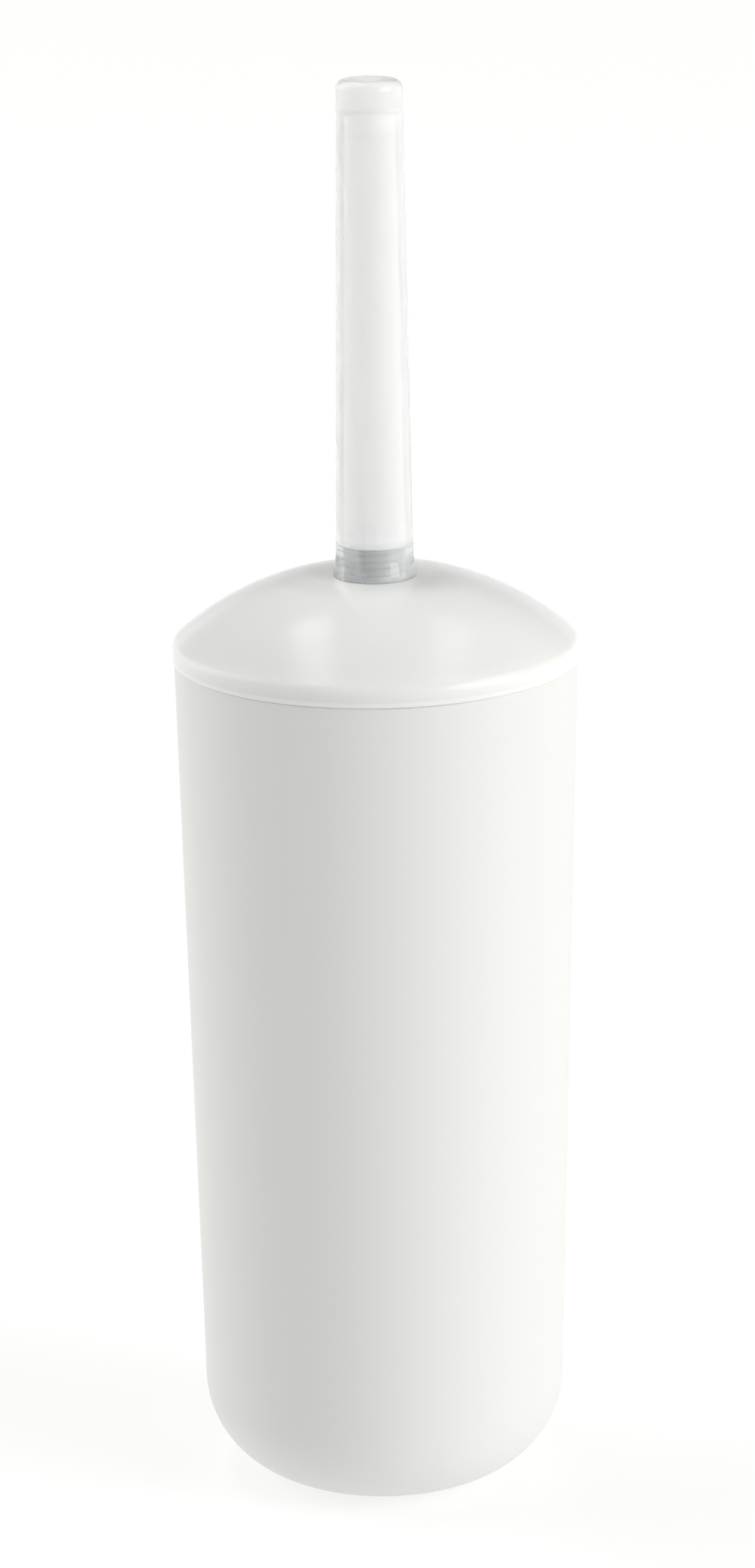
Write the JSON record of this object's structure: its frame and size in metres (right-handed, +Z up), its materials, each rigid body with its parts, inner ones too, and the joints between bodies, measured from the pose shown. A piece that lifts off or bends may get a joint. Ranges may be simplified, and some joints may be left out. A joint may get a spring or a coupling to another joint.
{
  "type": "toilet brush holder",
  "caption": "free-standing tapered canister with a toilet brush inside; the brush hangs from a domed lid and lifts out by a tubular handle that screws down on the stem's stud",
  "frame": {"origin": "on the floor at the centre of the canister's foot", "axes": "+Z up along the canister's axis; the whole object is turned about +Z"},
  "size_m": [0.1108, 0.1108, 0.3921],
  "materials": {
    "canister_white": "white moulded polypropylene with a soft satin gloss",
    "lid_frosted": "frosted white plastic, slightly translucent",
    "handle_frosted": "frosted clear plastic tube, translucent",
    "bush_grey": "plain grey moulded plastic",
    "stud_steel": "plain steel rod",
    "stem_white": "white moulded plastic",
    "head_white": "white moulded plastic",
    "bristle_white": "white nylon filament tufts",
    "anchor_wire": "flat wire"
  },
  "bodies": {
    "canister": {"canister": "canister_white"},
    "brush": {"brush_stem": "stem_white", "threaded_stud": "stud_steel", "brush_head": "head_white", "tuft_anchors": "anchor_wire", "bristle_tip": "bristle_white", "bristle_ring_1": "bristle_white", "bristle_ring_2": "bristle_white", "bristle_ring_3": "bristle_white", "bristle_ring_4": "bristle_white", "bristle_ring_5": "bristle_white", "bristle_ring_6": "bristle_white", "bristle_ring_7": "bristle_white"},
    "lid": {"lid": "lid_frosted"},
    "handle": {"handle": "handle_frosted", "threaded_bush": "bush_grey"}
  },
  "joints": [
    {"name": "brush_lift", "type": "slide", "parent": "canister", "child": "brush", "axis": [0, 0, 1], "range_m": [0, 0.26]},
    {"name": "handle_unscrew", "type": "hinge", "parent": "brush", "child": "lid", "pos_m": [0, 0, 0.2581], "axis": [0, 0, 1], "range_deg": [0, 1800]},
    {"name": "handle_rise", "type": "slide", "parent": "lid", "child": "handle", "axis": [0, 0, 1], "range_m": [0, 0.0101]}
  ],
  "couplings": [
    {"joint": "handle_rise", "follows": "handle_unscrew", "m_per_rad": 0.00031831}
  ]
}
